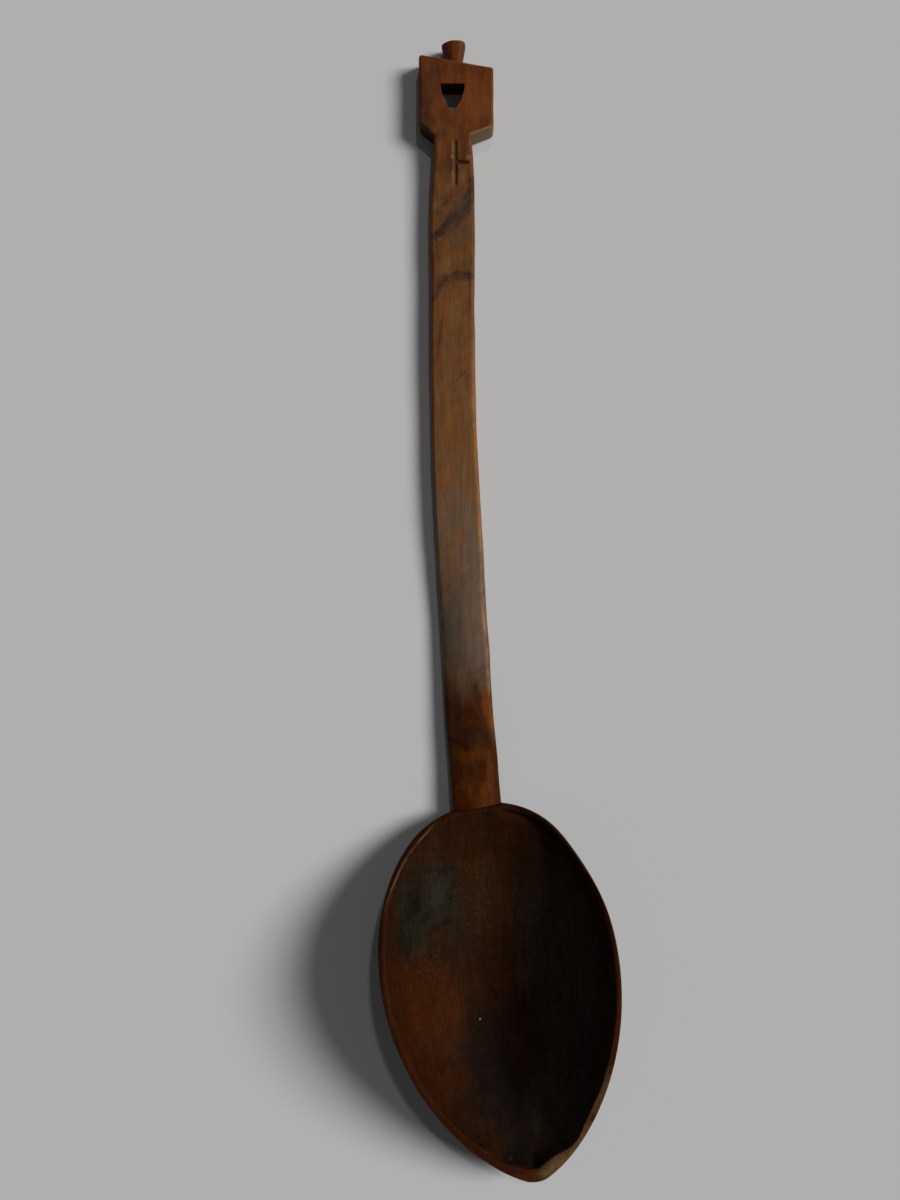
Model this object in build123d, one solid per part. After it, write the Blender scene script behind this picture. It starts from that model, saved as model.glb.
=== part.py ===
from build123d import *
import os
from math import cos, pi, radians, sin

# A carved wooden love spoon that lies on its back, head toward +Y and bowl open toward +Z.
# It is worked out from the seat where the stem meets the bowl, and centred at the end.

# Bowl: plan sizes run along its own axis, from the stem's seat to the tip
bowl_length = 108.6
bowl_reach_left = 33.4
bowl_reach_right = 32.0
bowl_widest = 39.9           # from the seat to the widest place
bowl_lean = 9.2              # degrees that the axis leans away from the stem's line
bowl_bluntness = 0.435       # power of the curve that opens the outline at the stem
bowl_tip_flat = 3.2          # width of the blunt tip
rim_seat_height = 8.5
rim_crown_height = 33.0
rim_crown_place = 50.0       # from the seat to the highest place of the rim
rim_tip_height = 13.0
tip_depth = 4.6              # height of the wood at the very tip
rim_width = 2.2              # wall at the widest place, seen from above
rim_edge = 0.8               # rounding of its outer edge
seat_wall = 1.2              # wall at the stem, seen from above
tip_wall = 4.3               # wall at the tip, seen from above
floor_thickness = 4.2
floor_place = 60.0           # from the seat to the deepest place
cavity_seat_step = 0.9       # drop from the rim into the hollow at the stem
cavity_tip_step = 1.6        # the same drop at the tip
keel_near = 34.0             # the underside is level from here
keel_far = 48.0              # to here
foot_flat = 0.35             # depth that is shaved flat under the bowl
hull_fullness = 0.60         # 0.55 is an ellipse, more is boxier
hollow_fullness = 0.54
hollow_overrun = 3.0         # how far the hollow's curve is carried on above the rim

# Stem: heights and widths along a line from the seat to the head
stem_length = 197.1
stem_width_bowl = 14.2
stem_width_mid = 13.1
stem_width_head = 11.0
stem_widening_bowl = 125.0   # length over which the stem widens toward the bowl
stem_shoulder = 20.0         # length over which it narrows below the head
stem_depth_bowl = 6.4
stem_depth_mid = 5.6
stem_thickening = 26.0       # length over which it deepens to the head's face
stem_edge = 1.1              # rounding of its long edges
stem_keel = 3.6              # the same under its end at the bowl
stem_sway = 7.35             # sideways bow between head and bowl
stem_sway_run = 150.0        # length of the bowed stretch
stem_lift_run = 60.0         # length over which the underside rises to the bowl
stem_hollow = 0.3            # gap under the stem between the bowl and the head

# Head: a flat block, heights measured up from the end of the stem
head_depth = 7.5
head_reach_left = 9.85
head_reach_right = 11.85
head_shoulder_left = 3.5
head_shoulder_right = 2.3
head_top_left = 23.8
head_top_right = 19.9
head_edge = 0.7
hole_width = 7.0
hole_height = 8.2
hole_top = 15.4              # its flat upper edge, above the end of the stem
hole_offset = 0.0            # its middle, right of the stem's line
hole_bulge = 0.78            # outward bow of its two long sides

# Finial: a flared knob on the slanted top of the head
finial_height = 6.4
finial_width_base = 5.0
finial_width_top = 6.75
finial_depth_base = 6.6
finial_depth_top = 6.9
finial_edge = 1.6
finial_crown = 0.8           # rounding of its top

seat_margin = 0.9            # bowl wood left on each side of the stem's end
bowl_stations = 14
stem_stations = 12
clear = 10.0                 # reach of the hole's cutting solid past the wood


def bowl_place(along, across, height):
    """A point of the bowl: along its axis, across to the right, and up."""
    lean = radians(bowl_lean)
    return Vector(along * sin(lean) + across * cos(lean), across * sin(lean) - along * cos(lean), height)


def even_to_ends(count):
    """Shares from 0 to 1 that crowd toward both ends."""
    return [(1 - cos(pi * k / count)) / 2 for k in range(count + 1)]


def egg(share, widest, bluntness):
    """Half width of a blunt and pointed oval, 1 at its widest share."""
    point = bluntness * (1 - widest) / widest
    return (share / widest) ** bluntness * ((1 - share) / (1 - widest)) ** point


def egg_ends(half_start, half_end, reach, widest, bluntness):
    """Shares at which an oval of this reach has the two given half widths."""
    point = bluntness * (1 - widest) / widest
    start = widest * (half_start / reach * (1 - widest) ** point) ** (1 / bluntness)
    end = 1 - (1 - widest) * (half_end / reach * widest ** bluntness) ** (1 / point)
    return start, end


def two_slopes(along, first, place, last, start, middle, end):
    """A height that is level at one place and falls or rises to both ends as a parabola."""
    if along < place:
        return middle + (start - middle) * ((place - along) / (place - first)) ** 2
    return middle + (end - middle) * ((along - place) / (last - place)) ** 2


def rim_height(along):
    """Top of the rim, arched along the bowl's axis."""
    return two_slopes(along, 0, rim_crown_place, bowl_length,
                      rim_seat_height, rim_crown_height, rim_tip_height)


def brim_height(along):
    """Where the hollow's curve ends, above the rim so that the cut is clean."""
    return rim_height(along) + hollow_overrun


def floor_height(along):
    """Bottom of the hollow along the bowl's axis."""
    last = bowl_length - tip_wall
    start = rim_height(seat_wall) - cavity_seat_step
    end = rim_height(last) - cavity_tip_step
    return two_slopes(along, seat_wall, floor_place, last, start, floor_thickness, end)


def keel_height(along):
    """Underside of the bowl along its axis, shaved later where it dips below zero."""
    seat_keel = rim_seat_height - stem_depth_bowl
    tip_keel = rim_tip_height - tip_depth
    near = max(0.0, (keel_near - along) / keel_near) ** 2
    far = max(0.0, (along - keel_far) / (bowl_length - keel_far)) ** 2
    return (seat_keel + foot_flat) * near + (tip_keel + foot_flat) * far - foot_flat


def trough(along, left, right, top, bottom, fullness):
    """A U shaped section across the bowl, closed by a straight line over its top."""
    drop = fullness * (top - bottom)
    lowest = bowl_place(along, 0, bottom)
    edges = [Line(bowl_place(along, -left, top), bowl_place(along, right, top))]
    for reach in (-left, right):
        brim = bowl_place(along, reach, top)
        steep = bowl_place(along, reach, top - drop)
        level = bowl_place(along, reach * fullness, bottom)
        edges.append(Bezier(brim, steep, level, lowest))
    return Wire(edges)


def egg_loft(first, last, left, right, half_first, half_last, top, bottom, fullness):
    """A solid with an egg shaped plan between two places on the axis, trough shaped across."""
    length = last - first
    widest = (bowl_widest - first) / length
    start, end = egg_ends(half_first, half_last, min(left, right), widest, bowl_bluntness)
    sections = []
    for step in even_to_ends(bowl_stations):
        along = first + length * step
        half = egg(start + (end - start) * step, widest, bowl_bluntness)
        sections.append(trough(along, left * half, right * half, top(along), bottom(along), fullness))
    return Solid.make_loft(sections)


def make_bowl():
    half_seat = stem_width_bowl / 2 + seat_margin
    half_tip = bowl_tip_flat / 2
    hull = egg_loft(0, bowl_length, bowl_reach_left, bowl_reach_right,
                    half_seat, half_tip, rim_height, keel_height, hull_fullness)
    rim = hull.faces().sort_by(Axis.Z)[-1]
    seat = bowl_place(0, 0, rim_seat_height)
    worn = [edge for edge in rim.edges() if edge.distance_to(seat) > seat_margin]
    hull = fillet(worn, min(rim_edge, rim_width / 3, bowl_tip_flat / 3))
    hollow = egg_loft(seat_wall, bowl_length - tip_wall,
                      bowl_reach_left - rim_width, bowl_reach_right - rim_width,
                      half_tip, half_tip, brim_height, floor_height, hollow_fullness)
    return split(hull - hollow, bisect_by=Plane.XY, keep=Keep.TOP)


def stem_width(up):
    """Width of the stem at a distance from its seat: wide at the bowl, narrow at the head."""
    low = max(0.0, 1 - (up / stem_widening_bowl) ** 2)
    high = max(0.0, 1 - (stem_length - up) / stem_shoulder) ** 2
    widened = (stem_width_bowl - stem_width_mid) * low
    narrowed = (stem_width_mid - stem_width_head) * high
    return stem_width_mid + widened - narrowed


def stem_depth(up):
    """Thickness of the stem: it deepens toward the bowl, and to the head's own thickness."""
    low = max(0.0, 1 - up / stem_lift_run) ** 2
    high = max(0.0, 1 - (stem_length - up) / stem_thickening) ** 2
    return stem_depth_mid + (stem_depth_bowl - stem_depth_mid) * low + (head_depth - stem_depth_mid) * high


def stem_bottom(up):
    """Underside of the stem: it rises to the bowl and comes down flush with the head's back."""
    low = max(0.0, 1 - up / stem_lift_run) ** 2
    high = max(0.0, 1 - (stem_length - up) / stem_thickening) ** 2
    return (rim_seat_height - stem_depth_bowl) * low + stem_hollow * (1 - low) * (1 - high)


def stem_offset(up):
    """Sideways place of the stem's middle line, which bows away from the bowl's axis."""
    return -stem_sway * (1 - max(0.0, 1 - up / stem_sway_run) ** 2)


def stem_turn(up):
    """Angle of the stem's middle line, in radians, from straight up to the head."""
    return 2 * stem_sway / stem_sway_run * max(0.0, 1 - up / stem_sway_run)


def stem_section(up, depth):
    """Rounded section of the stem, whose underside grows rounder toward the bowl."""
    half = stem_width(up) / 2
    low = max(0.0, 1 - up / stem_lift_run) ** 2
    upper = min(stem_edge, depth / 3)
    lower = min(stem_edge + (stem_keel - stem_edge) * low, depth * 0.6)
    corners = [(-half, -depth / 2), (half, -depth / 2), (half, depth / 2), (-half, depth / 2)]
    return make_face(FilletPolyline(*corners, radius=[lower, lower, upper, upper], close=True))


def make_stem():
    sections = []
    for step in even_to_ends(stem_stations):
        up = stem_length * step
        depth = stem_depth(up)
        bottom = stem_bottom(up)
        turn = radians(bowl_lean) if step == 0 else stem_turn(up)
        place = Plane((stem_offset(up), up, bottom + depth / 2),
                      x_dir=(cos(turn), sin(turn), 0), z_dir=(-sin(turn), cos(turn), 0))
        sections.append(place * stem_section(up, depth))
    return loft(sections)


def head_line():
    """Ends of the head's slanted top, as left and right points."""
    middle = stem_offset(stem_length)
    left = Vector(middle - head_reach_left, stem_length + head_top_left)
    right = Vector(middle + head_reach_right, stem_length + head_top_right)
    return left, right


def make_head():
    middle = stem_offset(stem_length)
    left, right = head_line()
    outline = Polyline(
        left,
        (middle - head_reach_left, stem_length + head_shoulder_left),
        (middle - stem_width_head / 2, stem_length),
        (middle + stem_width_head / 2, stem_length),
        (middle + head_reach_right, stem_length + head_shoulder_right),
        right,
        close=True,
    )
    block = extrude(make_face(outline), head_depth)
    seat = block.faces().sort_by(Axis.Y)[0]
    worn = block.edges().filter_by(Plane.XY) - seat.edges()
    block = fillet(worn, min(head_edge, head_depth / 3))

    top = stem_length + hole_top
    centre = middle + hole_offset
    tip = Vector(centre, top - hole_height)
    corners = [Vector(centre - hole_width / 2, top), Vector(centre + hole_width / 2, top)]
    sides = []
    for corner in corners:
        slope = tip - corner
        outward = Vector(-slope.Y, slope.X).normalized()
        if outward.X * (corner.X - centre) < 0:
            outward = outward * -1
        sides.append(ThreePointArc(corner, (corner + tip) / 2 + outward * hole_bulge, tip))
    shield = make_face(sides + [Line(corners[0], corners[1])])
    return block - Pos(0, 0, -clear) * extrude(shield, head_depth + 2 * clear)


def make_finial():
    left, right = head_line()
    slope = right - left
    across = slope.normalized()
    share = (stem_offset(stem_length) - left.X) / slope.X
    base = left + slope * share
    lift = Vector(0, 0, head_depth / 2)
    low = Plane(base + lift, x_dir=across, z_dir=Vector(-across.Y, across.X))
    high = Plane(base + lift + Vector(0, finial_height), x_dir=(1, 0, 0), z_dir=(0, 1, 0))
    edge = min(finial_edge, finial_width_base / 3, finial_depth_base / 3)
    knob = loft([
        low * RectangleRounded(finial_width_base, finial_depth_base, edge),
        high * RectangleRounded(finial_width_top, finial_depth_top, edge),
    ])
    crown = knob.faces().sort_by(Axis.Y)[-1]
    return fillet(crown.edges(), min(finial_crown, finial_height / 3))


nodes = {
    "bowl": make_bowl(),
    "stem": make_stem(),
    "head": make_head(),
    "finial": make_finial(),
}
box = Compound(children=[Compound([node.solid()]) for node in nodes.values()]).bounding_box()
to_centre = Pos(-box.center().X, -box.center().Y, -box.min.Z)
print("moved by", to_centre.position, "size", box.size)

os.makedirs("parts", exist_ok=True)
for name, node in nodes.items():
    export_step(to_centre * node, f"parts/{name}.step")
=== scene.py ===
import bpy
import numpy as np
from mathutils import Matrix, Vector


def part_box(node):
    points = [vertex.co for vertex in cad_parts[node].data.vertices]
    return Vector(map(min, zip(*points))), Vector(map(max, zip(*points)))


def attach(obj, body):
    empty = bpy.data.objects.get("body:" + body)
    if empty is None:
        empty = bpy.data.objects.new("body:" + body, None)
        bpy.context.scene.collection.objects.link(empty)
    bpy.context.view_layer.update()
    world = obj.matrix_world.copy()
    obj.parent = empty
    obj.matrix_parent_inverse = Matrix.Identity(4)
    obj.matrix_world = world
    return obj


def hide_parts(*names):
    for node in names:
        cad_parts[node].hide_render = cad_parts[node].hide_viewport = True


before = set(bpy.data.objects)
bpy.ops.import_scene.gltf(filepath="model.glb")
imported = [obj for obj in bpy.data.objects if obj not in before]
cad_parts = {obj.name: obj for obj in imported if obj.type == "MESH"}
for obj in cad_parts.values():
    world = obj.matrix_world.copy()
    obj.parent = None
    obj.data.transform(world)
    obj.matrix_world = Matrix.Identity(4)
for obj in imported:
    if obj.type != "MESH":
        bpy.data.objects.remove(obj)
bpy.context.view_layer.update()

# Shapes are worked out in millimetres from the seat where the stem meets the bowl,
# x to the right, y up to the head, z up from the table, and moved into the frame at the end.
stemLength = 197.1
headReach = 17.2  # from the head's left edge across to the seat
headLow = np.array(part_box("head")[0]) * 1000
seat = np.array([headLow[0] + headReach, headLow[1] - stemLength, 0.0])


def place(x, y, z):  # millimetres from the seat to metres in the frame, as one array of points
    return (np.stack(np.broadcast_arrays(x, y, z), axis=-1) + seat) / 1000


def ease(x, low, high):  # 0 below low, 1 above high, an S curve between
    t = np.clip((x - low) / (high - low), 0, 1)
    return t * t * (3 - 2 * t)


def stretch(x, start, end):  # 1 along a stretch, eased in over start and out over end
    return ease(x, *start) * (1 - ease(x, *end))


def hill(x, middle, reach):  # bell curve of height 1
    return np.exp(-((x - middle) / reach) ** 2)


def between(count, first=0.0, last=1.0):  # even steps without the two ends
    return np.linspace(first, last, count + 2)[1:-1]


def softNoise(x, y, z, size, seed):  # random values on a cube lattice, eased between its corners, -1 to 1
    cells = 24
    table = np.random.default_rng(seed).uniform(-1, 1, (cells, cells, cells))
    spot = np.stack(np.broadcast_arrays(x, y, z), axis=-1) / np.asarray(size, float)
    cell = np.floor(spot).astype(int)
    part = ease(spot - cell, 0, 1)
    total = 0
    for corner in np.ndindex(2, 2, 2):  # the eight corners of a cell
        share = np.where(np.array(corner) == 1, part, 1 - part).prod(axis=-1)
        total = total + share * table[tuple(np.moveaxis((cell + corner) % cells, -1, 0))]
    return total


def knifeMarks(x, y, waves):  # soft noises added up: height, size across, size along and seed of each
    return sum(high * softNoise(x, y, 0, (wide, long, 1), seed) for high, wide, long, seed in waves)


def scratch(x, y, ends, width, depth):  # V cut along a line between two points, fading at both ends
    (ax, ay), (bx, by) = ends
    run = np.hypot(bx - ax, by - ay)
    ux, uy = (bx - ax) / run, (by - ay) / run
    along = (x - ax) * ux + (y - ay) * uy
    across = np.abs((y - ay) * ux - (x - ax) * uy)
    soft = 0.8 * width
    fade = stretch(along, (-width, soft), (run - soft, run + width))
    return depth * fade * np.clip(1 - across / width, 0, 1)


def scratches(x, y, cuts):  # depth of all cuts together
    return sum(scratch(x, y, *cut) for cut in cuts)


def wrap(name, rings, start=None, end=None, loop=False, marks=None):
    # A grid of rings becomes a closed mesh: each ring runs round the piece, and the ends close on a
    # pole point or, with loop, on each other. The sign of the volume says which way the faces turn.
    rows, count = rings.shape[:2]
    gridSize = rows * count
    verts = rings.reshape(-1, 3)
    here = np.arange(gridSize).reshape(rows, count)
    after = np.roll(here, -1, axis=1)
    if loop:
        low, high, lowNext, highNext = here, np.roll(here, -1, axis=0), after, np.roll(after, -1, axis=0)
    else:
        low, high, lowNext, highNext = here[:-1], here[1:], after[:-1], after[1:]
    quads = np.stack([low, lowNext, highNext, high], axis=-1).reshape(-1, 4)
    fans = []
    for pole, row, turn in ((start, 0, -1), (end, rows - 1, 1)):
        if pole is not None:
            verts = np.vstack([verts, pole])
            fan = np.stack([here[row], after[row], np.full(count, len(verts) - 1)], axis=-1)
            fans.append(fan[:, ::turn])
    tris = np.vstack([quads[:, [0, 1, 2]], quads[:, [0, 2, 3]]] + fans)
    corner = verts[tris]
    volume = np.einsum("ij,ij->i", corner[:, 0], np.cross(corner[:, 1], corner[:, 2])).sum() / 6
    step = 1 if volume > 0 else -1
    faces = quads[:, ::step].tolist() + [f for fan in fans for f in fan[:, ::step].tolist()]
    mesh = bpy.data.meshes.new(name)
    mesh.from_pydata(verts.tolist(), [], faces)
    mesh.polygons.foreach_set("use_smooth", np.ones(len(faces), bool))
    for mark, values in (marks or {}).items():  # a pole takes the mark of its ring's first or last point
        layer = mesh.attributes.new(mark, "FLOAT", "POINT")
        grid = np.broadcast_to(values, (rows, count)).ravel()
        poles = grid[[0, -1][: len(verts) - gridSize]]
        layer.data.foreach_set("value", np.concatenate([grid, poles]))
    mesh.update()
    piece = bpy.data.objects.new(name, mesh)
    bpy.context.collection.objects.link(piece)
    print(f"{name}: {len(verts)} points, {len(tris)} triangles, {abs(volume) * 1e9:.0f} mm3")
    return piece


# Bowl

bowlPlan = {  # places are along the bowl from the stem, or across it with the right side positive
    "length": 108.6, "left": 33.4, "right": 32.0, "widest": 39.9, "lean": 9.2, "bluntness": 0.435,
    "seatHalf": 8.0, "tipHalf": 1.6, "tipRound": 0.5, "middle": 46.0,
    "rimSeat": 8.5, "rimCrown": 33.0, "crownPlace": 50.0, "rimTip": 13.0, "seatDepth": 6.4, "tipDepth": 4.6,
    "keelNear": 34.0, "keelFar": 48.0, "hullFullness": 0.60,
    "rimWidth": 1.9, "seatOpen": 8.4, "seatWall": 1.2, "tipWall": 6.0, "hollowTip": 3.0, "leastHalf": 0.3,
    "floor": 4.2, "floorPlace": 60.0, "seatStep": 0.9, "tipStep": 1.6, "hollowFullness": 0.54, "overrun": 3.0,
    # rounded edges of the rim: the left shoulder pared outside, the right side steep and the tip crisp inside
    "outerRound": 0.6, "outerShare": 0.6, "pareWide": 1.5, "pareDeep": 2.1, "pareStart": (1, 4),
    "pareEnd": (10, 24), "innerRound": 1.05, "innerWide": 1.35, "innerShare": 0.7, "innerSteep": 2.2,
    "steepSide": (-4, 16), "steepStart": (4, 14), "innerCrisp": 0.35, "crispStart": (62, 88),
    "crispSlant": 0.35, "dropShare": 0.5,
    # hand work: where the rim is pared flat, falls inward, is worn thin or left thick, and its scalloped edge
    "flatDeep": 1.1, "flatSpot": (15.0, 9.0),
    "tilt": 2.2, "tiltSide": (0, 5), "tiltStart": (1, 2.5), "tiltEnd": (22, 46),
    "thinRight": 1.4, "thinRightSpot": (94, 4.5), "thinLeft": 1.7, "thinLeftSpot": (97.5, 3.0),
    "thickTip": 1.9, "thickTipStart": (96, 99.5), "scallop": 0.30, "scallopSize": 5.5,
    "scallopSeeds": {"left": 61, "right": 62}, "scallopStart": (55, 75), "scallopEnd": (97, 100),
    "freeStart": (3, 12), "wanderLeast": 0.03, "wander": 0.05, "wanderSize": (9, 9, 14), "wanderRise": (1, 8),
    "gouges": ((0.10, 5.5, 13, 8), (0.05, 2.4, 5, 9)), "gougeBelow": (0.5, 4),
    "wear": 0.07, "wearSize": (4.5, 4.5, 6), "wearBelow": 3.0,
    # the rim's own tone: where it fades inward, how far it spills over both edges, and the rubbed ridge
    "toneFade": (0.40, 0.95), "toneOut": 1.4, "toneIn": 0.9, "ridgeIn": 0.1, "ridgeWide": 0.20,
    "sidePoints": 180, "seatPoints": 30, "tipPoints": 10,
    "hullRows": 54, "wallRows": 5, "rimRows": 16, "hollowRows": 70,
}
troughSteps = np.linspace(0, 1, 400)


def egg(share, widest, bluntness):  # half width of a blunt and pointed oval, 1 at its widest share
    point = bluntness * (1 - widest) / widest
    share = np.clip(share, 1e-6, 1 - 1e-6)
    return (share / widest) ** bluntness * ((1 - share) / (1 - widest)) ** point


def eggHalf(along, first, last, reach, halfFirst, halfLast, smaller):
    # the oval is cut off where it has the two end widths, and stretched between first and last
    b = bowlPlan
    widest = (b["widest"] - first) / (last - first)
    point = b["bluntness"] * (1 - widest) / widest
    start = widest * (halfFirst / smaller * (1 - widest) ** point) ** (1 / b["bluntness"])
    end = 1 - (1 - widest) * (halfLast / smaller * widest ** b["bluntness"]) ** (1 / point)
    share = np.clip((along - first) / (last - first), 0, 1)
    return reach * egg(start + (end - start) * share, widest, b["bluntness"])


def twoSlopes(along, first, middle, last, low, level, high):  # level at the middle, a parabola to each end
    near = level + (low - level) * (np.clip(middle - along, 0, None) / (middle - first)) ** 2
    far = (high - level) * (np.clip(along - middle, 0, None) / (last - middle)) ** 2
    return near + far


def rimHeight(along):  # two parabolas that meet at the rim's crown
    b = bowlPlan
    return twoSlopes(along, 0, b["crownPlace"], b["length"], b["rimSeat"], b["rimCrown"], b["rimTip"])


def floorHeight(along):  # two parabolas from the hollow's lowest place up to a step below the rim's ends
    b = bowlPlan
    last = b["length"] - b["tipWall"]
    low, high = rimHeight(b["seatWall"]) - b["seatStep"], rimHeight(last) - b["tipStep"]
    return twoSlopes(along, b["seatWall"], b["floorPlace"], last, low, b["floor"], high)


def keelHeight(along):  # level on the table along the foot, a parabola up to each end
    b = bowlPlan
    near = np.clip((b["keelNear"] - along) / b["keelNear"], 0, None) ** 2
    far = np.clip((along - b["keelFar"]) / (b["length"] - b["keelFar"]), 0, None) ** 2
    return (b["rimSeat"] - b["seatDepth"]) * near + (b["rimTip"] - b["tipDepth"]) * far


def troughCurves(fullness):  # reach and drop of a cubic from the brim, straight down, to the level bottom
    t = troughSteps
    reach = (1 - t) ** 3 + 3 * (1 - t) ** 2 * t + 3 * fullness * (1 - t) * t ** 2
    drop = 3 * fullness * (1 - t) ** 2 * t + 3 * (1 - t) * t ** 2 + t ** 3
    return reach, drop


def troughHeight(across, half, top, bottom, fullness):  # height on the cubic at a place across the trough
    reach, drop = troughCurves(fullness)
    ratio = np.clip(np.abs(across) / half, 0, 1)
    return top - (top - bottom) * np.interp(ratio, reach[::-1], drop[::-1])


def hullHalf(along, side):  # half width of the hull at the rim, the oval's own
    b = bowlPlan
    smaller = min(b["left"], b["right"])
    return eggHalf(along, 0, b["length"], b[side], b["seatHalf"], b["tipHalf"], smaller)


def outerHalf(along, side):  # the same with the right shoulder pared flat by a bell curve
    b = bowlPlan
    flat = b["flatDeep"] * hill(along, *b["flatSpot"]) if side == "right" else 0
    return hullHalf(along, side) - flat


def brimHalf(along, side):  # half width of the hollow at its brim, which lies above the rim by the overrun
    b = bowlPlan
    smaller = min(b["left"], b["right"]) - b["rimWidth"]
    half = eggHalf(along, b["seatWall"], b["length"] - b["tipWall"], b[side] - b["rimWidth"],
                   b["seatOpen"], b["hollowTip"], smaller)
    if side == "right":  # pared flat at the shoulder, worn thin toward the tip and left thick across it
        half = half - b["flatDeep"] * hill(along, *b["flatSpot"])
        half = half + b["thinRight"] * hill(along, *b["thinRightSpot"])
        half = half - b["thickTip"] * ease(along, *b["thickTipStart"])
    else:
        half = half + b["thinLeft"] * hill(along, *b["thinLeftSpot"])
    scallop = b["scallop"] * softNoise(0, along, 0, b["scallopSize"], b["scallopSeeds"][side])
    return np.maximum(half + scallop * stretch(along, b["scallopStart"], b["scallopEnd"]), b["leastHalf"])


def hollowHalf(along, side):  # half width of the hollow where its wall comes up through the rim
    b = bowlPlan
    reach, drop = troughCurves(b["hollowFullness"])
    depth = rimHeight(along) - floorHeight(along)
    return brimHalf(along, side) * np.interp(b["overrun"] / (b["overrun"] + depth), drop, reach)


def hullSurface(along, across):  # height of the bowl's outside above a place in plan
    half = np.where(across < 0, hullHalf(along, "left"), hullHalf(along, "right"))
    return troughHeight(across, half, rimHeight(along), keelHeight(along), bowlPlan["hullFullness"])


def hollowSurface(along, across):  # height of the hollow above a place in plan
    b = bowlPlan
    half = np.where(across < 0, brimHalf(along, "left"), brimHalf(along, "right"))
    top = rimHeight(along) + b["overrun"]
    return troughHeight(across, half, top, floorHeight(along), b["hollowFullness"])


def ovalLoop(first, last, halfAt):
    # left side down from the stem, round the tip, right side back up, and across the end at the stem
    b = bowlPlan
    side = (1 - np.cos(np.pi * np.linspace(0, 1, b["sidePoints"]))) / 2
    down = first + (last - b["tipRound"] - first) * side
    left, right = halfAt(down, "left"), halfAt(down, "right")
    tip = between(b["tipPoints"], -1, 1)
    tipWide = np.where(tip < 0, left[-1], right[-1]) * tip
    tipDown = last - b["tipRound"] * tip ** 2
    cross = between(b["seatPoints"], right[0], -left[0])
    along = np.concatenate([down, tipDown, down[::-1], np.full(b["seatPoints"], first)])
    across = np.concatenate([-left, tipWide, right[::-1], cross])
    return np.array([along, across])


def roundOff(away, wide):  # 1 at an edge and 0 from its width inward, by a circle's curve
    return 1 - np.sqrt(1 - np.clip(1 - away / wide, 0, 1) ** 2)


def rimEdges(outer, inner, width):  # how far each edge of the rim is rounded off, point by point
    b = bowlPlan
    most = b["dropShare"] * (rimHeight(inner[0]) - floorHeight(inner[0]))
    pared = stretch(outer[0], b["pareStart"], b["pareEnd"]) * (outer[1] < 0)
    outWide = b["outerRound"] + (b["pareWide"] - b["outerRound"]) * pared
    crisp = ease(inner[0] + b["crispSlant"] * inner[1], *b["crispStart"])
    steep = ease(inner[1], *b["steepSide"]) * ease(inner[0], *b["steepStart"])
    inDrop = b["innerRound"] + (b["innerSteep"] - b["innerRound"]) * steep
    inDrop = inDrop + (b["innerCrisp"] - inDrop) * crisp
    inWide = b["innerWide"] + (b["innerCrisp"] - b["innerWide"]) * crisp
    fallen = ease(inner[1], *b["tiltSide"]) * stretch(inner[0], b["tiltStart"], b["tiltEnd"])
    return {
        "pared": pared, "crisp": crisp, "fallen": fallen, "tilt": np.minimum(b["tilt"] * fallen, most),
        "outDrop": b["outerRound"] + (b["pareDeep"] - b["outerRound"]) * pared,
        "outWide": np.minimum(outWide, b["outerShare"] * width),
        "inDrop": np.minimum(inDrop, most), "inWide": np.minimum(inWide, b["innerShare"] * width),
    }


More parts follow.
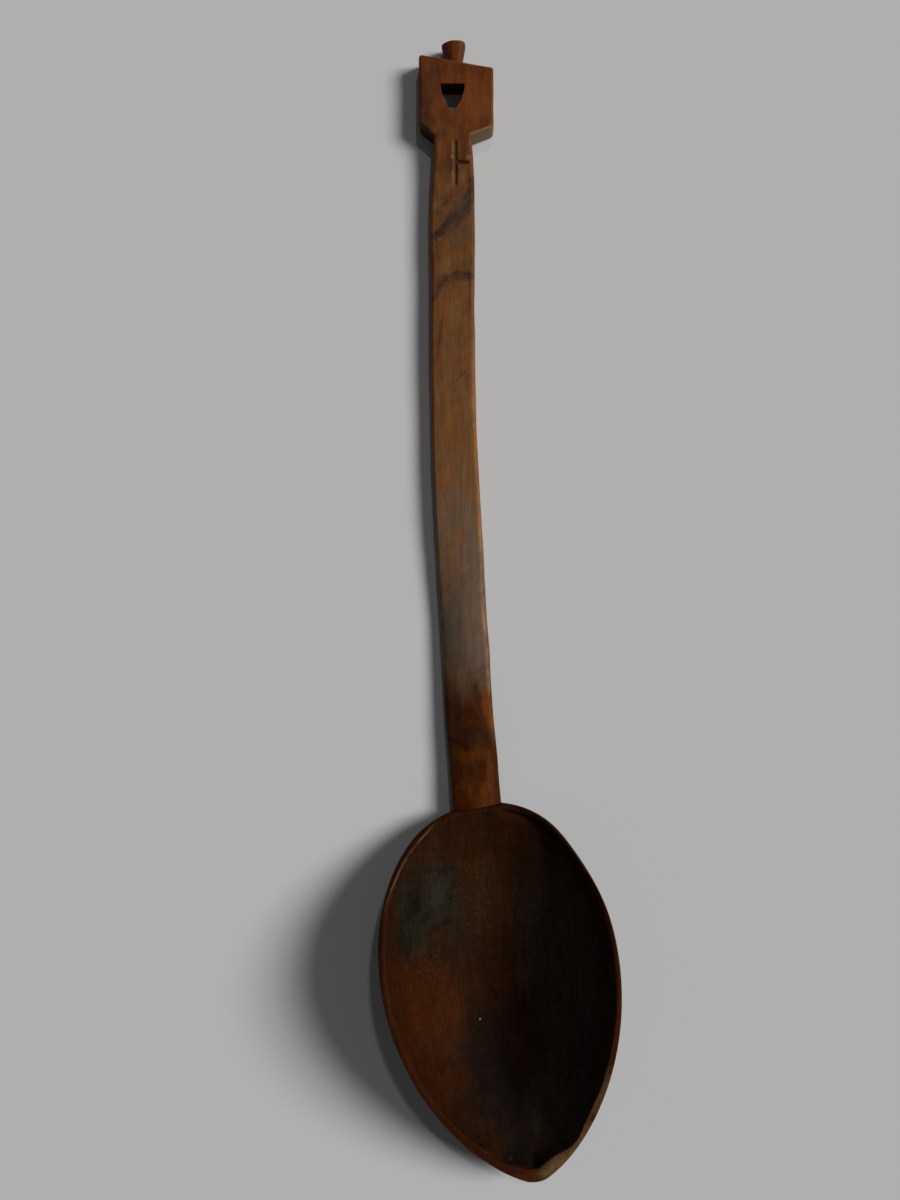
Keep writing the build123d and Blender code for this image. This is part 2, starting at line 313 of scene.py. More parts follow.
def makeBowl():
    b = bowlPlan
    outer = ovalLoop(0, b["length"], outerHalf)
    inner = ovalLoop(b["seatWall"], b["length"] - b["tipWall"], hollowHalf)
    middle = np.array([[b["middle"]], [0.0]])
    width = np.hypot(*(outer - inner))
    rimOut, rimIn = rimHeight(outer[0]), rimHeight(inner[0])
    edges = rimEdges(outer, inner, width)

    # hull: rays from the middle of the foot to the rim, crowded toward the rim by a sine
    spread = np.sin(np.linspace(0, np.pi / 2, b["hullRows"] + 1)[1:])[:, None, None]
    hull = middle + spread * (outer - middle)
    hullUp = hullSurface(hull[:, 0], hull[:, 1]) * (1 - edges["outDrop"] / rimHeight(hull[:, 0]))
    # wall: straight up from the hull to the rounded rim, of no height along the sides
    lift = np.linspace(0, 1, b["wallRows"] + 1)[1:, None]
    wall = np.repeat(outer[None], b["wallRows"], axis=0)
    wallUp = hullUp[-1] + lift * (rimOut - edges["outDrop"] - hullUp[-1])
    # rim: across from the outer to the inner edge, both rounded, and falling inward at the right shoulder
    share = (1 - np.cos(np.pi * between(b["rimRows"])))[:, None] / 2
    rim = outer + share[:, None] * (inner - outer)
    rimUp = rimOut + share * (rimIn - rimOut)
    rimUp = rimUp - edges["outDrop"] * roundOff(share * width, edges["outWide"])
    rimUp = rimUp - edges["inDrop"] * roundOff((1 - share) * width, edges["inWide"])
    rimUp = rimUp - edges["tilt"] * share
    # hollow: rays back to the middle, on the hollow's own curve
    inDrop = edges["inDrop"] + edges["tilt"]
    back = np.sin(np.linspace(np.pi / 2, 0, b["hollowRows"] + 1)[:-1])[:, None, None]
    hollow = middle + back * (inner - middle)
    hollowUp = hollowSurface(hollow[:, 0], hollow[:, 1])
    rimAt, floorAt = rimHeight(hollow[:, 0]), floorHeight(hollow[:, 0])
    hollowUp = hollowUp - inDrop * ease(hollowUp - floorAt, 0, rimAt - floorAt)
    # step: straight down from the rim's inner edge to the hollow
    stepTop = rimIn - inDrop
    drop = np.linspace(0, 1, b["wallRows"] + 1)[:-1, None]
    step = np.repeat(inner[None], b["wallRows"], axis=0)
    stepUp = stepTop + drop * (np.minimum(hollowUp[0], stepTop) - stepTop)

    # marks: how far inside a point lies, how much of the rim's tone it has, and the pared shoulder's ridge
    plan = np.concatenate([hull, wall, rim, step, hollow])
    up = np.concatenate([hullUp, wallUp, rimUp, stepUp, hollowUp])
    below = rimHeight(plan[:, 0]) - up
    onRim = slice(len(hull) + len(wall), len(hull) + len(wall) + len(rim))
    inHollow = slice(onRim.stop, None)
    inside, ridge, rimTone = np.zeros_like(up), np.zeros_like(up), hill(below, 0, b["toneOut"])
    inside[onRim] = share
    inside[inHollow] = 1
    ridge[onRim] = hill(share * width, edges["outWide"] + b["ridgeIn"], b["ridgeWide"]) * edges["pared"]
    rimTone[onRim] = np.maximum(1 - ease(share, *b["toneFade"]) * (1 - edges["crisp"]), edges["fallen"])
    rimTone[inHollow] = hill(below[inHollow], 0, b["toneIn"]) * edges["crisp"]

    lean = np.radians(b["lean"])
    x = plan[:, 0] * np.sin(lean) + plan[:, 1] * np.cos(lean)
    y = plan[:, 1] * np.sin(lean) - plan[:, 0] * np.cos(lean)
    footX, footY = b["middle"] * np.sin(lean), -b["middle"] * np.cos(lean)
    # knife work: the outside and the rim wander a little inward, the hollow has soft gouge marks
    toward = np.stack([footX - x, footY - y])
    toward = toward / np.maximum(np.hypot(*toward), 1e-6)
    free = ease(plan[:, 0], *b["freeStart"])
    wander = b["wanderLeast"] + b["wander"] * softNoise(x, y, up, b["wanderSize"], 5)
    wander = wander * free * (1 - inside) * ease(up, *b["wanderRise"])
    x, y = x + toward[0] * wander, y + toward[1] * wander
    up = up + knifeMarks(x, y, b["gouges"]) * ease(below, *b["gougeBelow"]) * (inside > 0.99)
    worn = b["wear"] * free * (1 + softNoise(x, y, up, b["wearSize"], 11))
    up = np.maximum(up - worn * np.clip(1 - below / b["wearBelow"], 0, 1), 0)
    return wrap("carvedBowl", place(x, y, up), place(footX, footY, 0.0),
                place(footX, footY, floorHeight(b["middle"])),
                marks={"edge": ridge, "inside": inside, "rim": rimTone})


# Stem

stemPlan = {  # places are along the stem from the bowl
    "widthBowl": 14.2, "widthMid": 13.1, "widthHead": 11.0, "widening": 125.0, "shoulder": 20.0,
    "depthBowl": bowlPlan["seatDepth"], "depthMid": 5.6, "depthHead": 7.5, "lift": 60.0, "thickening": 26.0,
    "gap": 0.3, "sway": 7.35, "swayRun": 150.0, "ease": 0.4, "easeSpot": (64, 34), "easeStart": (0, 30),
    "turnRun": 4.0, "leftRound": 1.05, "leftDrop": 1.6, "rightRound": 0.95, "backRound": 1.1,
    "keelRound": 3.6, "leastSide": 0.3, "softEnds": 0.75, "leftMore": 0.25, "leftMoreStart": (140, 165),
    "crown": 0.10, "crownLow": 1.4, "crownLowEnd": (56, 92), "crownSeat": 0.5, "crownSeatEnd": (4, 30),
    "crownRise": (0.20, 0.75), "frontRise": (0.75, 0.98),
    # knife marks: height, size across, size along and seed
    "freeStart": (0, 14), "freeEnd": (stemLength - 8, stemLength),
    "leftWander": ((0.12, 1, 13, 21), (0.05, 1, 4, 22)), "leftVaries": ((0.35, 1, 17, 25),),
    "rightWander": ((0.14, 1, 15, 23), (0.06, 1, 4.5, 24)), "rightVaries": ((0.25, 1, 15, 26),),
    "frontFlats": ((0.10, 6, 16, 31), (0.04, 2.5, 7, 32)),
    "backFlats": ((0.06, 5, 14, 33),), "backLeast": 0.06,
    # edges lighter by rubbed wear and, on the right edges that face the light, by a painted highlight: the
    # stretch, and how strong they are on the flat's right edge and on the left round
    "rubHighlightStart": (10, 40), "rubHighlightEnd": (128, 146), "rubHighlightRight": 0.9, "rubHighlightWide": 0.035, "rubLeft": 0.12,
    "frontPoints": 84, "roundPoints": 9, "sidePoints": 9, "backPoints": 24,
    "crossRows": 150, "crossReach": 22.0, "plainRows": 430,
}
crossCuts = [  # the incised cross: two ends, half width and depth of each cut
    (((-6.55, 195.6), (-6.45, 183.2)), 0.80, 0.55),
    (((-5.9, 189.9), (-2.8, 189.6)), 0.65, 0.72),
    (((-9.9, 190.7), (-7.6, 190.6)), 0.35, 0.12),
]
stemScars = [  # later knocks and scratches, given in the same way
    (((-0.6, 36.8), (-0.4, 33.2)), 0.50, 0.06),
    (((-9.6, 64.9), (-3.0, 68.6)), 0.30, 0.06),
    (((-6.5, 55.4), (-3.0, 61.4)), 0.30, 0.05),
    (((-8.8, 49.4), (-5.6, 56.0)), 0.28, 0.05),
    (((-6.6, 124.5), (-2.8, 130.0)), 0.35, 0.05),
]
cutTone, scarTone = 2.2, 0.9  # dark of a cut for its depth squared, and of a scar for its depth


def stemFades(up):  # 1 at the bowl's end and 1 at the head's end, each falling to 0 by a parabola
    s = stemPlan
    low = np.clip(1 - up / s["lift"], 0, None) ** 2
    high = np.clip(1 - (stemLength - up) / s["thickening"], 0, None) ** 2
    return low, high


def stemWidth(up):  # the middle's width, more toward the bowl and less at the head, by parabolas
    s = stemPlan
    low = np.clip(1 - (up / s["widening"]) ** 2, 0, None)
    high = np.clip(1 - (stemLength - up) / s["shoulder"], 0, None) ** 2
    return s["widthMid"] + (s["widthBowl"] - s["widthMid"]) * low - (s["widthMid"] - s["widthHead"]) * high


def makeStem():
    # A rounded oblong, four flats and four rounds, carried along the bowed middle line.
    s = stemPlan
    fineFrom = stemLength - s["crossReach"]
    plain = np.linspace(0, fineFrom, s["plainRows"], endpoint=False)
    up = np.concatenate([plain, np.linspace(fineFrom, stemLength, s["crossRows"])])[:, None]
    low, high = stemFades(up)
    half = stemWidth(up) / 2
    depth = s["depthMid"] + (s["depthBowl"] - s["depthMid"]) * low + (s["depthHead"] - s["depthMid"]) * high
    bottom = (bowlPlan["rimSeat"] - s["depthBowl"]) * low + s["gap"] * (1 - low) * (1 - high)
    bow = np.clip(1 - up / s["swayRun"], 0, None)
    middle = s["ease"] * hill(up, *s["easeSpot"]) * ease(up, *s["easeStart"]) - s["sway"] * (1 - bow ** 2)
    turn = 2 * s["sway"] / s["swayRun"] * bow
    turn = turn + (np.radians(bowlPlan["lean"]) - turn[0]) * np.clip(1 - up / s["turnRun"], 0, None) ** 2
    # the edges wander as a knife leaves them, and run true where they meet the head and the bowl
    free = stretch(up, s["freeStart"], s["freeEnd"])
    leftHalf = half + free * knifeMarks(0, up, s["leftWander"])
    rightHalf = half + free * knifeMarks(0, up, s["rightWander"])
    soften = s["softEnds"] + (1 - s["softEnds"]) * free
    leftMore = s["leftMore"] * ease(up, *s["leftMoreStart"])
    leftRound = s["leftRound"] * soften * (1 + knifeMarks(0, up, s["leftVaries"]) + leftMore)
    rightRound = s["rightRound"] * soften * (1 + knifeMarks(0, up, s["rightVaries"]))
    backRound = s["backRound"] + (s["keelRound"] - s["backRound"]) * low
    leftDrop = np.minimum(s["leftDrop"] * leftRound / s["leftRound"], depth - backRound - s["leastSide"])

    arc = np.linspace(0, np.pi / 2, s["roundPoints"] + 2)[None]
    flat = np.linspace(0, 1, s["frontPoints"])[None]
    side, under = between(s["sidePoints"])[None], between(s["backPoints"])[None]
    innerArc = arc[:, 1:-1]
    leftFlat, rightFlat = leftHalf - leftRound, rightHalf - rightRound
    leftBack, rightBack = leftHalf - backRound, rightHalf - backRound
    across = np.concatenate([
        rightFlat * (1 - flat) - leftFlat * flat,
        -leftFlat - leftRound * np.sin(innerArc),
        -leftHalf + 0 * side,
        -leftBack - backRound * np.cos(arc),
        -leftBack * (1 - under) + rightBack * under,
        rightBack + backRound * np.sin(arc),
        rightHalf + 0 * side,
        rightFlat + rightRound * np.cos(innerArc),
    ], axis=1)
    rise = np.concatenate([
        depth + 0 * flat,
        depth - leftDrop + leftDrop * np.cos(innerArc),
        (depth - leftDrop) * (1 - side) + backRound * side,
        backRound - backRound * np.sin(arc),
        0 * depth + 0 * under,
        backRound - backRound * np.cos(arc),
        backRound * (1 - side) + (depth - rightRound) * side,
        depth - rightRound + rightRound * np.sin(innerArc),
    ], axis=1)
    # edge tone: rubbed wear along the stretch, and on the right edges also a painted highlight where they
    # face the light; the left round carries a little wear
    rubbedAndLit = stretch(up, s["rubHighlightStart"], s["rubHighlightEnd"])
    edge = np.concatenate([
        s["rubHighlightRight"] * hill(flat, 0, s["rubHighlightWide"]) * rubbedAndLit,
        s["rubLeft"] * np.sin(2 * innerArc) + 0 * up,
        np.zeros((len(up), across.shape[1] - flat.size - 2 * innerArc.size)),
        np.sin(innerArc) * rubbedAndLit,
    ], axis=1)
    x, y = middle + across * np.cos(turn), up + across * np.sin(turn)
    # front: nearly flat at the head and rounded toward the bowl, a parabola across
    crown = s["crown"] + s["crownLow"] * (1 - ease(up, *s["crownLowEnd"]))
    crown = crown + s["crownSeat"] * (1 - ease(up, *s["crownSeatEnd"]))
    z = bottom + rise - crown * (across / half) ** 2 * ease(rise / depth, *s["crownRise"])
    # shallow knife flats, the cross and the scars in front, and long knife flats behind
    front = ease(rise / depth, *s["frontRise"])
    behind = (1 - front) * (rise < depth / 2)
    cut, scar = scratches(x, y, crossCuts), scratches(x, y, stemScars)
    z = z + front * (free * knifeMarks(x, y, s["frontFlats"]) - cut - scar)
    z = z + behind * free * (s["backLeast"] + knifeMarks(x, y, s["backFlats"]))
    z = np.maximum(z, 0)
    ends = [place(x[row].mean(), y[row].mean(), (bottom + depth / 2)[row, 0]) for row in (0, -1)]
    dark = np.clip(front * (cutTone * cut ** 2 + scarTone * scar), 0, 1)
    return wrap("carvedStem", place(x, y, z), *ends, marks={"edge": edge, "cut": dark})


# Head

headPlan = {  # heights are above the end of the stem
    "middle": -stemPlan["sway"], "depth": stemPlan["depthHead"], "seatHalf": stemPlan["widthHead"] / 2,
    "left": 9.95, "shoulderLeft": 3.5, "topLeft": 24.3,
    "right": 12.15, "shoulderRight": 2.6, "topRight": 20.3,
    "cornerRounds": (1.2, 0.9, 0.05, 0.05, 0.9, 0.7),
    "frontRound": 0.75, "backRound": 0.7, "leastRound": 0.01, "holeRound": 0.35,
    "holeWidth": 7.0, "holeHeight": 8.2, "holeTop": 15.4, "holeBulge": 0.78, "holeMiddle": 0.38,
    # the edge on the stem stays true, and the rest wanders as a knife leaves it
    "trueAcross": (-1.2, 0.2), "trueUp": (0.3, 1.5), "wander": 0.10, "holeWander": 0.08,
    "leftMore": 0.35, "leftMoreStart": (2, 9), "roundVaries": 0.3,
    "flats": ((0.07, 5, 9, 44), (0.03, 2, 4, 45)), "flatsDeep": 0.05, "flatsRise": 6.0,
    "frontBelow": (1.5, 0.2),
    # tones: edges lighter from left to right, partly rubbed wear and partly a painted highlight toward the
    # lit right, the hole's wall darkened as painted shade, painted shade on the left side beside the stem and
    # painted light on the right side
    "rubHighlightSide": (-9, 9), "holeDark": 0.55, "paintedShadeSide": (3.5, 5.5), "paintedShadeUp": (3.0, 5.0),
    "paintedLightSide": (4.5, 6.0), "paintedLightUp": (2.6, 3.6),
    "aroundPoints": 480, "frontRows": 60, "roundRows": 8, "sideRows": 16, "backRows": 26, "holeRows": 16,
    "cornerPoints": 9, "holePoints": 24,
}


def unit(v):  # each row scaled to length 1
    return v / np.linalg.norm(v, axis=1, keepdims=True)


def roundCorners(points, reach):  # each corner of a polygon becomes a short parabola between its two sides
    before, after = np.roll(points, 1, axis=0) - points, np.roll(points, -1, axis=0) - points
    reach = np.array(reach)[:, None]
    a, c = points + unit(before) * reach, points + unit(after) * reach
    t = np.linspace(0, 1, headPlan["cornerPoints"])[None, :, None]
    curve = (1 - t) ** 2 * a[:, None] + 2 * t * (1 - t) * points[:, None] + t ** 2 * c[:, None]
    return curve.reshape(-1, 2)


def rayReach(angles, points, centre):  # distance from the centre to a closed outline, along each angle
    a = points - centre
    d = np.roll(points, -1, axis=0) - points
    ray = np.stack([np.cos(angles), np.sin(angles)], axis=1)
    cross = ray[:, None, 0] * d[None, :, 1] - ray[:, None, 1] * d[None, :, 0]
    cross = np.where(np.abs(cross) < 1e-12, 1e-12, cross)
    far = (a[None, :, 0] * d[None, :, 1] - a[None, :, 1] * d[None, :, 0]) / cross
    share = (a[None, :, 0] * ray[:, None, 1] - a[None, :, 1] * ray[:, None, 0]) / cross
    far = np.where((far > 0) & (share > -1e-6) & (share < 1 + 1e-6), far, np.inf)
    return far.min(axis=1)


def headOutline():  # six corners, from the top left down to the stem and up the right side, each rounded
    h = headPlan
    corners = np.array([
        (-h["left"], h["topLeft"]), (-h["left"], h["shoulderLeft"]), (-h["seatHalf"], 0),
        (h["seatHalf"], 0), (h["right"], h["shoulderRight"]), (h["right"], h["topRight"])])
    return roundCorners(corners + (h["middle"], stemLength), h["cornerRounds"])


def holeOutline():  # a flat top and two sides that bow outward to a point below, by parabolas
    h = headPlan
    top = stemLength + h["holeTop"]
    t = np.linspace(0, 1, h["holePoints"])[:, None]
    tip = np.array([h["middle"], top - h["holeHeight"]])
    sides = []
    for way in (-1, 1):
        corner = np.array([h["middle"] + way * h["holeWidth"] / 2, top])
        run = tip - corner
        out = np.array([-run[1], run[0]]) / np.linalg.norm(run)
        out = out * np.sign(out[0] * way)
        sides.append(corner + run * t + out * 4 * h["holeBulge"] * t * (1 - t))
    return np.vstack([sides[0], sides[1][::-1][1:]])


def makeHead():
    # Rays from inside the hole meet its outline and the block's: between them a closed section runs over
    # the front, down the outside, along the back and up the wall of the hole.
    h = headPlan
    centre = np.array([h["middle"], stemLength + h["holeTop"] - h["holeMiddle"] * h["holeHeight"]])
    angle = np.linspace(0, 2 * np.pi, h["aroundPoints"], endpoint=False)
    outer = rayReach(angle, headOutline(), centre)[None]
    inner = rayReach(angle, holeOutline(), centre)[None]
    edgeX, edgeY = centre[0] + outer * np.cos(angle), centre[1] + outer * np.sin(angle)
    fromMiddle = edgeX - h["middle"]
    beside = ease(np.abs(fromMiddle) - h["seatHalf"], *h["trueAcross"])
    away = 1 - (1 - beside) * (1 - ease(edgeY - stemLength, *h["trueUp"]))
    outer = outer - away * h["wander"] * (1 + softNoise(edgeX, edgeY, 0, 5, 41))
    inner = inner + h["holeWander"] * softNoise(4 * np.cos(angle), 4 * np.sin(angle), 0, 1.2, 42)
    varies = h["leftMore"] * ease(-fromMiddle, *h["leftMoreStart"])
    varies = varies + h["roundVaries"] * softNoise(edgeX, edgeY, 0, 4, 43)
    frontRound = np.maximum(h["frontRound"] * (1 + varies) * away, h["leastRound"])
    backRound = np.maximum(h["backRound"] * away, h["leastRound"])
    holeRound, depth = h["holeRound"] + 0 * inner, h["depth"] + 0 * inner

    arc = np.linspace(0, np.pi / 2, h["roundRows"] + 2)[:, None]
    rowNames = ("frontRows", "sideRows", "backRows", "holeRows")
    front, side, back, wall = (between(h[rows])[:, None] for rows in rowNames)
    radius = np.concatenate([
        inner + holeRound - holeRound * np.cos(arc),
        (inner + holeRound) * (1 - front) + (outer - frontRound) * front,
        outer - frontRound + frontRound * np.sin(arc),
        outer + 0 * side,
        outer - backRound + backRound * np.cos(arc),
        (outer - backRound) * (1 - back) + (inner + holeRound) * back,
        inner + holeRound - holeRound * np.sin(arc),
        inner + 0 * wall,
    ])
    z = np.concatenate([
        depth - holeRound + holeRound * np.sin(arc),
        depth + 0 * front,
        depth - frontRound + frontRound * np.cos(arc),
        (depth - frontRound) * (1 - side) + backRound * side,
        backRound - backRound * np.sin(arc),
        0 * depth * back,
        holeRound - holeRound * np.cos(arc),
        holeRound * (1 - wall) + (depth - holeRound) * wall,
    ])
    rows = [len(part) for part in (arc, front, arc, side, arc, back, arc, wall)]
    # edges lighter toward the right: partly rubbed wear, partly a painted highlight where they face the light
    edge = np.repeat([0.1, 0, 0.30, 0, 0, 0, 0, 0], rows)[:, None] * away * ease(fromMiddle, *h["rubHighlightSide"])
    # the hole's wall and its rounded rim, darkened as painted shade
    deep = np.repeat([0, 0, 0, 0, 0, 0, 0.4, 1.0], rows)[:, None]
    outside = np.repeat([0, 0, 0.5, 1.0, 1.0, 0.3, 0, 0], rows)[:, None]

    x, y = centre[0] + radius * np.cos(angle), centre[1] + radius * np.sin(angle)
    right, high = x - h["middle"], y - stemLength
    top = ease(h["depth"] - z, *h["frontBelow"])
    flats = ease(high, 0, h["flatsRise"]) * (knifeMarks(x, y, h["flats"]) - h["flatsDeep"])
    cut = scratches(x, y, crossCuts)
    z = z + top * (flats - cut)
    # painted shade on the left shoulder wall, low beside the stem
    knotAndShadeBlack = outside * ease(-right, *h["paintedShadeSide"]) * (1 - ease(high, *h["paintedShadeUp"]))
    # painted light on the right shoulder wall, low beside the stem
    bare = outside * ease(right, *h["paintedLightSide"]) * (1 - ease(high, *h["paintedLightUp"]))
    # dark of the cuts, and painted shade on the hole's wall
    dark = np.clip(top * cutTone * cut ** 2 + h["holeDark"] * deep, 0, 1)
    return wrap("carvedHead", place(x, y, z), loop=True,
                marks={"edge": edge, "cut": dark, "shadow": knotAndShadeBlack, "bare": bare})


# Finial

finialPlan = {
    "middle": -7.10, "base": 219.13, "slope": -3.9 / 21.7, "height": 6.4, "sunk": 0.4,
    "depth": headPlan["depth"], "halfBase": 2.46, "halfTop": 3.62, "deepBase": 3.22, "deepTop": 3.42,
    "flare": 1.2, "squareness": 3.6, "capRound": 0.5, "capSink": 0.02, "capHollow": 0.10,
    "pareFrom": 1.05, "pareSide": 1.1, "pareFront": 1.4, "roughness": 0.04,
    "rub": 0.25, "rubBelow": (0.9, 0.2), "rubHighlightSide": (-1, 2),
    "aroundPoints": 120, "rows": 60, "roundRows": 10, "capRows": 14,
}


def makeFinial():
    # Squared ovals that widen to the top, a rounded edge, and a nearly flat cap that closes to its middle.
    f = finialPlan
    height, capRound = f["height"], f["capRound"]
    body, cap = np.linspace(0, 1, f["rows"]), between(f["capRows"] - 1, 1, 0)
    arc = np.linspace(0, np.pi / 2, f["roundRows"] + 1)[1:]
    level, rounded = np.full(len(cap), height), height - capRound * (1 - np.sin(arc))
    up = np.concatenate([body * (height - capRound), rounded, level])
    inset = np.concatenate([0 * body, capRound * (1 - np.cos(arc)), np.full(len(cap), capRound)])
    shrink = np.concatenate([np.ones(len(body) + len(arc)), cap])
    grown = np.clip(up / height, 0, 1) ** f["flare"]
    half = ((f["halfBase"] + (f["halfTop"] - f["halfBase"]) * grown - inset) * shrink)[:, None]
    deep = ((f["deepBase"] + (f["deepTop"] - f["deepBase"]) * grown - inset) * shrink)[:, None]
    up = up[:, None] - f["capSink"] - f["capHollow"] * (1 - shrink[:, None]) ** 2
    angle = np.linspace(0, 2 * np.pi, f["aroundPoints"], endpoint=False)[None]
    power = 2 / f["squareness"]
    across = half * np.sign(np.cos(angle)) * np.abs(np.cos(angle)) ** power
    rise = deep * np.sign(np.sin(angle)) * np.abs(np.sin(angle)) ** power
    # the left front edge is pared off
    paring = np.clip(rise / f["deepTop"] - across / f["halfTop"] - f["pareFrom"], 0, None)
    across, rise = across + f["pareSide"] * paring, rise - f["pareFront"] * paring
    x = f["middle"] + across
    foot, crown = f["base"] - f["sunk"], f["base"] + height
    low = foot + f["slope"] * across
    y = low + (crown - low) * up / height
    z = f["depth"] / 2 + rise + f["roughness"] * softNoise(x, y, rise, 2.6, 51)
    # the top edge lighter toward the right: partly rubbed wear, partly a painted highlight where it faces the
    # light
    edge = f["rub"] * ease(height - up, *f["rubBelow"]) * ease(across, *f["rubHighlightSide"])
    ends = [place(f["middle"], yy, f["depth"] / 2) for yy in (foot, crown - f["capSink"] - f["capHollow"])]
    return wrap("carvedFinial", place(x, y, z), *ends, marks={"edge": edge, "cut": 0 * x})


# Node helpers

def add(tree, kind, **settings):  # a node, its settings, and its unlinked sockets by name or number
    node = tree.nodes.new(kind)
    for key, value in settings.items():
        if key != "sockets":
            setattr(node, key, value)
    for key, value in settings.get("sockets", {}).items():
        node.inputs[key].default_value = value
    return node


def feed(tree, socket, value):  # a constant is set on the socket, anything else is linked to it
    if isinstance(value, (int, float)):
        socket.default_value = value
    elif isinstance(value, tuple):
        socket.default_value = (*value, 1) if len(socket.default_value) > len(value) else value
    else:
        tree.links.new(value, socket)


def calc(tree, operation, a, b, clamp=False):
    node = add(tree, "ShaderNodeMath", operation=operation, use_clamp=clamp)
    feed(tree, node.inputs[0], a)
    feed(tree, node.inputs[1], b)
    return node.outputs[0]


def vectorCalc(tree, operation, a, b=None):
    node = add(tree, "ShaderNodeVectorMath", operation=operation)
    feed(tree, node.inputs[0], a)
    if b is not None:
        feed(tree, node.inputs[1], b)
    return node.outputs["Value" if operation == "LENGTH" else "Vector"]


def mix(tree, factor, a, b, blend="MIX"):
    node = add(tree, "ShaderNodeMix", data_type="RGBA", blend_type=blend, clamp_factor=True)
    for number, value in zip((0, 6, 7), (factor, a, b)):  # its factor and its two colours
        feed(tree, node.inputs[number], value)
    return node.outputs[2]


def span(tree, value, low, high, toLow=0.0, toHigh=1.0, curve="LINEAR"):  # rescale, held at both ends
    sockets = {1: low, 2: high, 3: toLow, 4: toHigh}
    node = add(tree, "ShaderNodeMapRange", interpolation_type=curve, sockets=sockets)
    feed(tree, node.inputs[0], value)
    return node.outputs[0]


def noise(tree, vector, scale, detail=3.0, rough=0.55, distortion=0.0, turn=0.0, start=0.0):
    # clouds per metre along x, y and z, turned in plan by degrees and started from another place
    if turn:
        spin = add(tree, "ShaderNodeVectorRotate", rotation_type="Z_AXIS")
        feed(tree, spin.inputs["Angle"], float(np.radians(-turn)))
        feed(tree, spin.inputs["Vector"], vector)
        vector = spin.outputs[0]
    mapping = add(tree, "ShaderNodeMapping", sockets={"Scale": scale, "Location": (start, start, start)})
    feed(tree, mapping.inputs["Vector"], vector)
    sockets = {"Scale": 1.0, "Detail": detail, "Roughness": rough, "Distortion": distortion}
    cloud = add(tree, "ShaderNodeTexNoise", sockets=sockets)
    feed(tree, cloud.inputs["Vector"], mapping.outputs[0])
    return cloud.outputs["Fac"]


def newGroup(name, outputs, **inputs):  # takes the vector and more inputs, a number as a value socket
    group = bpy.data.node_groups.new(name, "ShaderNodeTree")
    for label, value in {"Vector": (0, 0, 0), **inputs}.items():
        kind = "NodeSocketFloat" if isinstance(value, float) else "NodeSocketVector"
        socket = group.interface.new_socket(label, in_out="INPUT", socket_type=kind)
        socket.default_value = value
    for label in outputs:
        group.interface.new_socket(label, in_out="OUTPUT", socket_type="NodeSocketFloat")
    return group, group.nodes.new("NodeGroupInput").outputs, group.nodes.new("NodeGroupOutput").inputs


def giveBack(group, leave, **values):  # links each result to the group's output of that name
    for label, value in values.items():
        group.links.new(value, leave[label])
    return group


def buildGrain():  # fine fibres along the spoon, broader streaks, short dark pores, and their relief
    group, enter, leave = newGroup("woodGrain", ("Fibre", "Streak", "Pores", "Height"))
    vector = enter["Vector"]
    fibre = noise(group, vector, (2300, 80, 2300), 5.0, 0.65)
    streak = noise(group, vector, (430, 26, 430), 5.0, 0.68, 1.4)
    pores = span(group, noise(group, vector, (3600, 300, 3600), 2.0, 0.5), 0.66, 0.78)
    height = calc(group, "SUBTRACT", calc(group, "MULTIPLY", fibre, 0.6), calc(group, "MULTIPLY", pores, 0.3))
    return giveBack(group, leave, Fibre=span(group, fibre, 0.3, 0.7), Streak=span(group, streak, 0.32, 0.68),
                    Pores=pores, Height=height)


def buildMottle():  # cloudy changes of tone: two broad ones, and a slanted smear
    group, enter, leave = newGroup("woodMottle", ("Warm", "Olive", "Smear"))
    vector = enter["Vector"]
    warm = noise(group, vector, (260, 85, 260), 5.0, 0.62, 0.9, 0.0, 3.1)
    olive = noise(group, vector, (190, 100, 190), 5.0, 0.62, 1.2, 12.0, 7.7)
    smear = noise(group, vector, (330, 120, 330), 5.0, 0.66, 1.8, -40.0, 1.3)
    return giveBack(group, leave, Warm=span(group, warm, 0.42, 0.64), Olive=span(group, olive, 0.44, 0.66),
                    Smear=span(group, smear, 0.50, 0.74))


def buildPatch():  # a soft oval, turned in plan, with a ragged border
    group, enter, leave = newGroup("softPatch", ("Mask",), Centre=(0, 0, 0), Size=(0.01, 0.01, 1),
                                   Turn=0.0, Ragged=0.6, Grain=300.0)
    turn = add(group, "ShaderNodeVectorRotate", rotation_type="Z_AXIS")
    for label, socket in (("Vector", "Vector"), ("Centre", "Center"), ("Turn", "Angle")):
        feed(group, turn.inputs[socket], enter[label])
    away = vectorCalc(group, "SUBTRACT", turn.outputs[0], enter["Centre"])
    flat = vectorCalc(group, "MULTIPLY", away, (1, 1, 0))
    far = vectorCalc(group, "LENGTH", vectorCalc(group, "DIVIDE", flat, enter["Size"]))
    cloud = add(group, "ShaderNodeTexNoise", sockets={"Detail": 4.0, "Roughness": 0.6})
    feed(group, cloud.inputs["Vector"], enter["Vector"])
    feed(group, cloud.inputs["Scale"], enter["Grain"])
    wobble = calc(group, "MULTIPLY", calc(group, "SUBTRACT", cloud.outputs["Fac"], 0.5), enter["Ragged"])
    reach = calc(group, "ADD", far, calc(group, "MULTIPLY", wobble, 2.0))
    return giveBack(group, leave, Mask=span(group, reach, 1.0, 0.25, curve="SMOOTHSTEP"))


